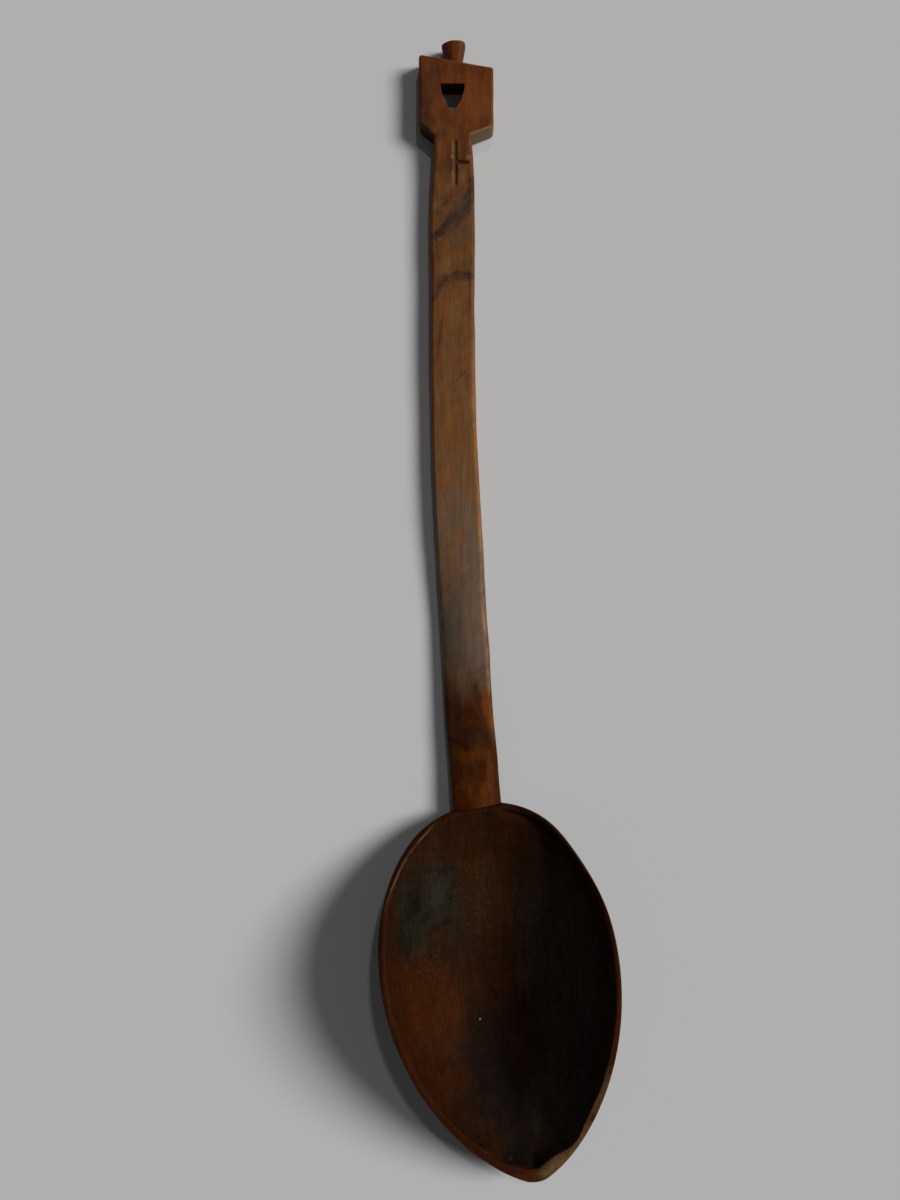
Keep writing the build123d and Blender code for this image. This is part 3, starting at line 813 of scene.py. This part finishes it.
def buildEdgeWearAndHighlight():  # the mesh's own edge mark, broken up so that it comes and goes
    group, enter, leave = newGroup("edgeWearAndHighlight", ("Mask",), Edge=0.0, Amount=0.7)
    long = noise(group, enter["Vector"], (220, 60, 220), 3.0, 0.6)
    fine = noise(group, enter["Vector"], (1100, 420, 1100), 3.0, 0.6)
    rub = calc(group, "ADD", calc(group, "MULTIPLY", long, 0.65), calc(group, "MULTIPLY", fine, 0.35))
    worn = calc(group, "MULTIPLY", span(group, rub, 0.38, 0.60), enter["Edge"])
    return giveBack(group, leave, Mask=calc(group, "MULTIPLY", worn, enter["Amount"], clamp=True))


grainGroup, mottleGroup, patchGroup, edgeWearAndHighlightGroup = buildGrain(), buildMottle(), buildPatch(), buildEdgeWearAndHighlight()
grainRelief = {"Strength": 0.30, "Distance": 0.0003}


class woodFinish:  # one material on Object coordinates, with the shared groups wired in
    def __init__(self, name):
        self.material = bpy.data.materials.new(name)
        self.material.use_nodes = True
        self.tree = self.material.node_tree
        self.shader = self.tree.nodes["Principled BSDF"]
        self.vector = add(self.tree, "ShaderNodeTexCoord").outputs["Object"]
        self.grain, self.mottle = self.group(grainGroup), self.group(mottleGroup)
        self.colour = None

    def group(self, group, **sockets):  # a shared group, its inputs fed, as its outputs
        node = add(self.tree, "ShaderNodeGroup", node_tree=group)
        for key, value in {"Vector": self.vector, **sockets}.items():
            feed(self.tree, node.inputs[key], value)
        return node.outputs

    def mark(self, name):  # a mark that the mesh carries
        return add(self.tree, "ShaderNodeAttribute", attribute_name=name).outputs["Fac"]

    def cloud(self, low, high, *settings, toLow=0.0):  # a noise, cut between two of its values
        return span(self.tree, noise(self.tree, self.vector, *settings), low, high, toLow)

    def along(self, value, low, high, toLow=0.0, toHigh=1.0):  # rescale between two places along the spoon
        low, high = (float(v + seat[1]) / 1000 for v in (low, high))
        return span(self.tree, value, low, high, toLow, toHigh)

    def times(self, a, b):
        return calc(self.tree, "MULTIPLY", a, b)

    def tint(self, mask, amount, colour, blend="MIX"):  # lays a colour over what is there
        self.colour = mix(self.tree, self.times(mask, amount), self.colour, colour, blend)

    def darken(self, mask, amount, colour):  # multiplies by a colour where the mask is low
        self.tint(calc(self.tree, "SUBTRACT", 1.0, mask), amount, colour, "MULTIPLY")

    def patches(self, places, colour, ragged=0.6, grain=300.0, through=None, blend="MIX"):
        # soft ovals of one colour, in millimetres from the seat and degrees, seen through another mask
        for x, y, wide, long, turn, amount in places:
            centre = tuple(float(v) for v in place(x, y, 0))
            size = (wide / 1000, long / 1000, 1.0)
            angle = float(np.radians(-turn))
            patch = self.group(patchGroup, Centre=centre, Size=size, Turn=angle, Ragged=ragged, Grain=grain)
            mask = patch["Mask"] if through is None else self.times(through, patch["Mask"])
            self.tint(mask, amount, colour, blend)

    def wear(self, amount, colour):  # the mesh's edge mark, laid on as a lighter colour: rubbed wear, and on the handle's right edges also a painted highlight
        self.tint(self.group(edgeWearAndHighlightGroup, Edge=self.mark("edge"), Amount=amount)["Mask"], 1.0, colour)

    def finish(self, gloss, roughness):
        bump = add(self.tree, "ShaderNodeBump", sockets=grainRelief)
        feed(self.tree, bump.inputs["Height"], self.grain["Height"])
        rough = span(self.tree, self.grain["Fibre"], 0, 1, *roughness)
        for name, value in (("Base Color", self.colour), ("Normal", bump.outputs[0]), ("Roughness", rough),
                            ("Specular IOR Level", gloss)):
            feed(self.tree, self.shader.inputs[name], value)
        return self.material


handleLook = {
    # tone along the handle from the bowl to the finial: place in mm from the seat, then the colour
    "along": [(0, (0.072, 0.016, 0.0024)), (20, (0.042, 0.0092, 0.0015)), (33, (0.058, 0.015, 0.0034)),
              (46, (0.125, 0.088, 0.056)), (60, (0.138, 0.098, 0.068)), (85, (0.195, 0.122, 0.076)),
              (108, (0.215, 0.098, 0.036)), (140, (0.35, 0.215, 0.09)), (158, (0.2, 0.146, 0.09)),
              (178, (0.138, 0.091, 0.063)), (187, (0.073, 0.03, 0.008)), (197, (0.11, 0.034, 0.0054)),
              (207, (0.16, 0.033, 0.0028)), (226, (0.135, 0.026, 0.0022))],
    "drift": 0.02,  # metres by which the tones wander up and down
    # of these, the worn tone is also a painted highlight on the right edges, the near black colours the knot
    # and paints shade on the head's left shoulder wall, the grey-tan paints light on its right shoulder wall,
    # and the groove tone also paints shade on the hole's wall
    "warm": (0.31, 0.088, 0.011), "olive": (0.21, 0.128, 0.042), "dark": (0.022, 0.012, 0.008),
    "grey": (0.07, 0.06, 0.05), "smear": (0.38, 0.46, 0.68), "worn": (0.42, 0.18, 0.055),
    "knotAndShadeBlack": (0.012, 0.009, 0.009), "bare": (0.31, 0.235, 0.13), "pale": (0.3, 0.19, 0.105),
    "grooveAndHoleShade": (0.018, 0.01, 0.006), "streak": (0.5, 0.4, 0.33), "wipe": (0.45, 0.42, 0.42),
    # amounts of what covers the whole handle
    "warmAmount": 0.42, "oliveAmount": 0.6, "streakAmount": 0.55, "fibreAmount": 0.4, "wipeAmount": 0.5,
    "poreAmount": 0.45, "wearAmount": 0.75, "paintedShadeAmount": 0.85, "paintedLightAmount": 0.75,
    # changes along the handle: two places in mm from the seat, and the value at each
    "upper": (35, 75, 0.24, 1), "block": (192, 200, 1, 0.15),
    "polish": (28, 44, 0.02, 0.16), "calmer": (80, 100, 1, 0.6),
    # places of each tone: x, y, half width, half length, turn in degrees, amount
    "smearPlaces": [
        (-6.4, 174, 6, 13, -40, 0.4), (-2.7, 179, 2.4, 6, -12, 1), (-1.8, 184, 1.7, 2.8, -20, 0.9),
        (-5.2, 174.2, 3.6, 6, -45, 0.85), (-9.3, 171.4, 2.2, 5, -36, 1), (-11.6, 168.8, 1.7, 3.4, -40, 0.9),
        (-10.4, 177.2, 1.5, 6.5, -42, 0.75), (-12.2, 163.5, 1.6, 5, -6, 0.75),
        (-4.8, 156.6, 1.9, 6.8, -86, 1), (-10, 154.8, 1.8, 4.2, -52, 0.95),
        (-12.4, 151, 1.5, 4.4, -24, 0.8), (-2.8, 160, 2.4, 4.4, 0, 0.65)],
    "darkPlaces": [
        (-1.6, 182, 1.8, 2.2, -30, 0.7), (-9.6, 171.6, 1, 2.4, -30, 0.55), (-11, 139, 0.7, 10, -6, 0.45),
        (-5, 127, 0.7, 5, -52, 0.35), (-5.8, 30, 3, 6.5, 10, 0.35), (-3, 21, 9, 3.2, 6, 0.4),
        (-4.5, 11, 4.6, 2.2, -12, 0.2), (-15.6, 208, 3, 12, 2, 0.5), (-14, 201, 3.4, 3.6, 30, 0.45),
        (-12.6, 214, 2.6, 6, 0, 0.3), (-14.6, 204.2, 1.7, 2.8, 10, 0.45), (-9.6, 203.4, 2.2, 4.6, 0, 0.35),
        (-10.5, 198, 3.2, 2.2, 20, 0.35), (-6.5, 189.5, 7, 6, 0, 0.24), (-9.8, 222.5, 1, 4, 0, 0.45)],
    "knotPlaces": [(-0.7, 35.2, 0.9, 2.8, -6, 0.6), (-0.6, 34.6, 0.6, 1.6, -4, 0.65)],
    "greyPlaces": [
        (-6, 173, 7, 15, 0, 0.22), (-7.6, 57, 5, 10, -10, 0.25), (-3, 66, 5, 7, 0, 0.15),
        (-7.6, 50, 2.6, 5, 20, 0.2), (-6.6, 87, 3.4, 8, -6, 0.3)],
    "warmPlaces": [
        (3, 29, 2, 9, 14, 0.45), (1.6, 15.5, 4, 3.4, -20, 0.16), (3.8, 9, 1.8, 8, 6, 0.25),
        (-3.5, 15, 4, 3, 10, 0.2), (-1.8, 164.7, 0.8, 1.8, 0, 0.85), (2.6, 4, 3.4, 5, 0, 0.15),
        (-10, 184, 2.6, 4, -10, 0.3), (-6, 163, 4, 3, -40, 0.5), (-1.3, 108, 0.8, 7, 0, 0.75),
        (-13, 112, 1.2, 14, 0, 0.45), (-1, 208, 6, 11, 0, 0.45), (-15.5, 200.5, 1.6, 2.4, 20, 0.45),
        (-6.8, 116, 2.2, 5, 10, 0.4), (-9.8, 96, 2.6, 6, -8, 0.35)],
    "olivePlaces": [
        (-4.2, 186, 1.4, 3.4, 0, 0.55), (-9, 182.5, 1.2, 2.4, -20, 0.7), (-12.6, 177.5, 0.9, 3, 0, 0.8),
        (-9, 160.5, 2.4, 5, -40, 0.6), (-6.5, 146, 3, 8, 0, 0.45), (-9.2, 126, 2.4, 6, -20, 0.45),
        (-4.6, 101, 2.6, 6, 0, 0.45)],
    "palePlaces": [
        (-6, 69, 0.35, 6.5, -62, 0.16), (-8.8, 61.2, 0.35, 3.4, -75, 0.16), (-6.8, 56.8, 0.3, 4.2, -32, 0.16),
        (-7.4, 191.3, 0.5, 0.9, 0, 0.5), (-5.3, 188.5, 0.7, 0.5, 20, 0.55), (-2.6, 191.2, 1, 0.7, 20, 0.45),
        (-7.4, 194, 0.3, 2.4, 0, 0.4), (-7.3, 186, 0.3, 3, 0, 0.4)],
    "roughness": (0.44, 0.6),
}


def handleWood():
    look = handleLook
    w = woodFinish("oiledHandleWood")
    t = w.tree
    split = add(t, "ShaderNodeSeparateXYZ")
    feed(t, split.inputs[0], w.vector)
    drift = calc(t, "SUBTRACT", noise(t, w.vector, (130, 60, 130), 3.0, 0.6), 0.5)
    high = calc(t, "ADD", split.outputs["Y"], w.times(drift, look["drift"]))
    lowEnd, highEnd = look["along"][0][0], look["along"][-1][0]
    ramp = add(t, "ShaderNodeValToRGB")
    stops = ramp.color_ramp.elements
    for k, (up, colour) in enumerate(look["along"]):
        stop = stops[k] if k < 2 else stops.new(0.5)  # a new ramp has two stops
        stop.position = (up - lowEnd) / (highEnd - lowEnd)
        stop.color = (*colour, 1)
    feed(t, ramp.inputs[0], w.along(high, lowEnd, highEnd))
    w.colour = ramp.outputs["Color"]
    upper, block = w.along(high, *look["upper"]), w.along(split.outputs["Y"], *look["block"])
    w.tint(w.times(w.mottle["Warm"], upper), look["warmAmount"], look["warm"])
    w.tint(w.times(w.times(w.mottle["Olive"], upper), block), look["oliveAmount"], look["olive"])
    w.patches(look["warmPlaces"], look["warm"])
    w.patches(look["olivePlaces"], look["olive"])
    w.darken(w.grain["Streak"], look["streakAmount"], look["streak"])
    w.darken(w.grain["Fibre"], look["fibreAmount"], look["streak"])
    w.tint(w.mottle["Smear"], look["wipeAmount"], look["wipe"], "MULTIPLY")
    # dark wiped smears, streaky along their own slant
    wiped = w.cloud(0.30, 0.66, (520, 90, 520), 5.0, 0.66, 0.8, -34.0, toLow=0.40)
    w.patches(look["smearPlaces"], look["smear"], 0.8, 420.0, wiped, "MULTIPLY")
    w.patches(look["greyPlaces"], look["grey"])
    w.patches(look["darkPlaces"], look["dark"], ragged=0.7)
    w.patches(look["knotPlaces"], look["knotAndShadeBlack"], ragged=0.25)
    w.patches(look["palePlaces"], look["pale"], ragged=0.8, grain=500.0)
    w.tint(w.grain["Pores"], look["poreAmount"], look["dark"])
    # rubbed edges, and a painted highlight on the right edges that face the light
    w.wear(look["wearAmount"], look["worn"])
    # darker cuts, and painted shade on the head hole's wall
    w.tint(w.mark("cut"), 1.0, look["grooveAndHoleShade"])
    # painted shade on the head's left shoulder wall
    w.tint(w.mark("shadow"), look["paintedShadeAmount"], look["knotAndShadeBlack"])
    # painted light on the head's right shoulder wall
    w.tint(w.mark("bare"), look["paintedLightAmount"], look["bare"])
    # dull by the bowl, polished where a hand holds it, and between the two toward the head
    gloss = w.times(w.along(high, *look["polish"]), w.along(high, *look["calmer"]))
    return w.finish(gloss, look["roughness"])


bowlLook = {
    "outside": (0.06, 0.022, 0.009), "inside": (0.036, 0.0135, 0.005), "warm": (0.078, 0.02, 0.0038),
    "dark": (0.009, 0.0062, 0.0042), "shade": (0.062, 0.053, 0.036), "stain": (0.027, 0.0235, 0.014),
    "ring": (0.0095, 0.009, 0.007), "fade": (0.044, 0.042, 0.033), "olive": (0.053, 0.029, 0.01),
    "scuff": (0.11, 0.065, 0.028), "rust": (0.62, 0.47, 0.44), "moss": (0.4, 0.47, 0.42),
    "rim": (0.066, 0.016, 0.004), "umber": (0.02, 0.0068, 0.0038), "tan": (0.23, 0.135, 0.058),
    "tip": (0.112, 0.029, 0.0054), "pale": (0.26, 0.19, 0.12), "streak": (0.5, 0.43, 0.38),
    "cloud": (0.55, 0.58, 0.58), "blotch": (0.48, 0.5, 0.52),
    # amounts of what covers the whole bowl
    "warmAmount": 0.35, "cloudAmount": 0.45, "specksAmount": 0.62, "streakAmount": 0.65, "fibreAmount": 0.55,
    "blotchAmount": 0.7, "poreAmount": 0.45, "wearAmount": 0.8,
    # places of each tone: x, y, half width, half length, turn in degrees, amount
    "warmPlaces": [
        (-11, -58, 12, 17, 14, 0.72), (-20, -50, 7, 24, 8, 0.42), (-5, -80, 9, 12, 30, 0.4),
        (1, -16, 13, 6, 0, 0.4), (3, -28, 9, 18, 4, 0.3), (-27, -27, 3, 15, -8, 0.8)],
    "olivePlaces": [(-7, -68, 5, 8, 20, 0.25), (-2, -88, 5, 9, 35, 0.32), (-16, -62, 4, 8, 20, 0.1),
                    (3, -27, 10, 17, 0, 0.6)],
    # a lighter tone on the right half of the hollow, where the right rim casts its shadow: painted light that
    # lifts the shade
    "shadePlaces": [(26, -45, 18, 44, 8, 0.95), (25, -84, 12, 20, -24, 0.95), (21, -68, 8, 24, 0, 0.5)],
    "stainPlaces": [(-19.5, -26, 6, 13, 0, 0.85), (-11.6, -25, 11.4, 16, 8, 1),
                    (-18.8, -36, 6.2, 9, 20, 0.8), (-3, -39, 9, 7, 0, 0.3)],
    "ringPlaces": [
        (-11, -17.8, 6.6, 1.4, -6, 0.6), (-17.2, -25, 1.6, 7.6, 0, 0.7), (-15.6, -31.5, 1.6, 4, -40, 0.6),
        (-8.3, -27, 3.4, 1.6, 35, 0.6), (-12, -34.2, 4.8, 1.9, 25, 0.75), (-19.2, -26.5, 3.2, 12, -4, 0.6),
        (-21.2, -37, 2.8, 6, 10, 0.5), (-6.8, -22, 1.3, 3.4, -20, 0.45)],
    "fadePlaces": [(-12, -25, 3.4, 4.6, 0, 0.55)],
    # darker in the lower middle and right of the hollow: partly a dark patina, partly a painted shadow of the
    # right rim
    "darkPlaces": [
        (-4, -88, 9, 13, 35, 0.42), (9.5, -84, 14, 26, 14, 0.9), (3, -66, 11, 18, 0, 0.55),
        (-3, -77, 7, 11, 20, 0.35), (12, -60, 5, 11, 0, 0.55), (12, -100, 9, 8, 20, 0.85)],
    "palePlaces": [(0.8, -62.5, 0.4, 0.4, 0, 1), (9.4, -98.6, 0.22, 1.2, 40, 0.08)],
    "scuffPlaces": [(-12, -24, 8, 10, 0, 0.75), (-13, -44, 10, 9, 0, 0.55),
                    (0, -25, 11, 18, 0, 0.6)],
    "tanPlaces": [(24.5, -97.5, 5.5, 14, -36, 1), (19.5, -103, 2.4, 3, -50, 0.8),
                  (29.5, -88, 3.6, 8, -30, 0.75), (33, -76, 3.2, 12, -18, 0.6)],
    # the first darkens the rim at the right shoulder as painted shade where it falls inward, the second
    # darkens the left rim
    "umberPlaces": [(18, -8, 19, 11, -38, 0.95), (-27.5, -36, 5, 17, 0, 0.7)],
    "tipPlaces": [(15, -105, 9, 4.5, 10, 0.9), (37, -55, 4, 16, 0, 0.3)],
    # order of the hollow's tones, with the raggedness and the grain of their borders
    "hollowTones": {"warm": (0.6, 90), "olive": (0.6, 160), "dark": (0.45, 90), "shade": (0.25, 60),
                    "stain": (0.6, 150), "ring": (0.9, 330), "fade": (0.6, 400)},
    "gloss": 0.02, "roughness": (0.55, 0.7),
}


def bowlWood():
    look = bowlLook
    w = woodFinish("oiledBowlWood")
    t = w.tree
    w.colour = look["inside"]
    w.tint(w.mottle["Warm"], look["warmAmount"], look["warm"])
    for tone, borders in look["hollowTones"].items():
        w.patches(look[tone + "Places"], look[tone], *borders)
    w.tint(w.mottle["Olive"], look["cloudAmount"], look["cloud"], "MULTIPLY")
    # small specks of two tones
    for tone, size, start in (("rust", (520, 430, 520), 2.3), ("moss", (460, 520, 460), 6.1)):
        specks = w.cloud(0.50, 0.66, size, 4.0, 0.65, 0.7, 0.0, start)
        w.tint(specks, look["specksAmount"], look[tone], "OVERLAY")
    # crossed fine scratches, kept to a few scuffed places
    lines = 0.0
    for turn in (14.0, 62.0, -38.0):
        lines = calc(t, "MAXIMUM", lines, w.cloud(0.60, 0.72, (240, 2400, 240), 3.0, 0.6, 0.4, turn))
    w.patches(look["scuffPlaces"], look["scuff"], 0.6, 120.0, lines)
    inner = mix(t, w.mark("inside"), look["outside"], w.colour)
    # the rim's tones: a dark left shoulder and painted shade on the right shoulder, a warm tip, and a tan
    # right edge that is warmer toward the hollow
    w.colour = look["rim"]
    tan = mix(t, span(t, w.mark("inside"), 0.45, 1.0, 0.0, 0.6), look["tan"], look["tip"])
    for tone, paint in (("umber", look["umber"]), ("tip", look["tip"]), ("tan", tan)):
        w.patches(look[tone + "Places"], paint, 0.4, 150.0)
    w.colour = mix(t, w.mark("rim"), inner, w.colour)
    w.darken(w.grain["Streak"], look["streakAmount"], look["streak"])
    w.darken(w.grain["Fibre"], look["fibreAmount"], look["streak"])
    blotches = w.cloud(0.46, 0.68, (1000, 620, 1000), 4.0, 0.7, 0.6)
    w.tint(blotches, look["blotchAmount"], look["blotch"], "MULTIPLY")
    w.tint(w.grain["Pores"], look["poreAmount"], look["dark"])
    w.patches(look["palePlaces"], look["pale"], ragged=0.5, grain=600.0)
    w.wear(look["wearAmount"], look["pale"])
    return w.finish(look["gloss"], look["roughness"])


print("working out the shapes")
pieces = {"bowl": makeBowl(), "stem": makeStem(), "head": makeHead(), "finial": makeFinial()}
handleFinish, bowlFinish = handleWood(), bowlWood()
for node, piece in pieces.items():
    piece.data.materials.append(bowlFinish if node == "bowl" else handleFinish)
    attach(piece, "root")
    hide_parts(node)
print("finishes on", len(pieces), "pieces")

# Table, light and camera

stageLook = {
    "floor": (0.66, 0.66, 0.66), "floorRough": 0.9, "floorGloss": 0.1, "reach": 6.0,
    # lights: turn round the table, rise above it and spread in degrees, and power
    "windowLight": (14.0, 42.3, 24.0, 2.52),  # wide, from the right
    "ceilingLight": (72.0, 60.6, 2.5, 0.197),  # small, from the head's side
    "sky": 0.057, "backdrop": 0.42,
    "eye": (-0.00853, 0.00077, 0.336), "nearest": 0.01,
    "lens": 33.6, "sensor": 36.0, "shift": (-0.015, 0.0033),
}


def makeTable():
    r = stageLook["reach"]
    mesh = bpy.data.meshes.new("paleTable")
    mesh.from_pydata([(-r, -r, 0), (r, -r, 0), (r, r, 0), (-r, r, 0)], [], [(0, 1, 2, 3)])
    table = bpy.data.objects.new("paleTable", mesh)
    bpy.context.collection.objects.link(table)
    paper = bpy.data.materials.new("palePaper")
    paper.use_nodes = True
    shader = paper.node_tree.nodes["Principled BSDF"]
    sockets = {"Base Color": "floor", "Roughness": "floorRough", "Specular IOR Level": "floorGloss"}
    for name, key in sockets.items():
        feed(paper.node_tree, shader.inputs[name], stageLook[key])
    mesh.materials.append(paper)


def addLight(name):  # far light that comes evenly from one direction, soft by its spread
    turn, rise, spread, power = stageLook[name]
    lamp = bpy.data.lights.new(name, "SUN")
    lamp.angle, lamp.energy = np.radians(spread), power
    lampObject = bpy.data.objects.new(name, lamp)
    lampObject.rotation_euler = (0, np.radians(90 - rise), np.radians(turn))
    bpy.context.collection.objects.link(lampObject)


def makeRoom():  # looks pale to the camera and gives little light
    world = bpy.data.worlds.new("paleRoom")
    bpy.context.scene.world = world
    world.use_nodes = True
    tree = world.node_tree
    shader = tree.nodes["Background"]
    seen = add(tree, "ShaderNodeLightPath").outputs["Is Camera Ray"]
    feed(tree, shader.inputs["Color"], (1, 1, 1))
    feed(tree, shader.inputs["Strength"], span(tree, seen, 0, 1, stageLook["sky"], stageLook["backdrop"]))
    bpy.context.scene.view_settings.view_transform = "Standard"


def makeCamera():
    s = stageLook
    eye = bpy.data.cameras.new("photoCamera")
    eye.lens, eye.sensor_width = s["lens"], s["sensor"]
    eye.shift_x, eye.shift_y = s["shift"]
    eye.clip_start = s["nearest"]
    eyeObject = bpy.data.objects.new("photoCamera", eye)
    eyeObject.location = s["eye"]
    bpy.context.collection.objects.link(eyeObject)
    bpy.context.scene.camera = eyeObject


makeTable()
addLight("windowLight")
addLight("ceilingLight")
makeRoom()
makeCamera()
print("stage, light and camera ready")
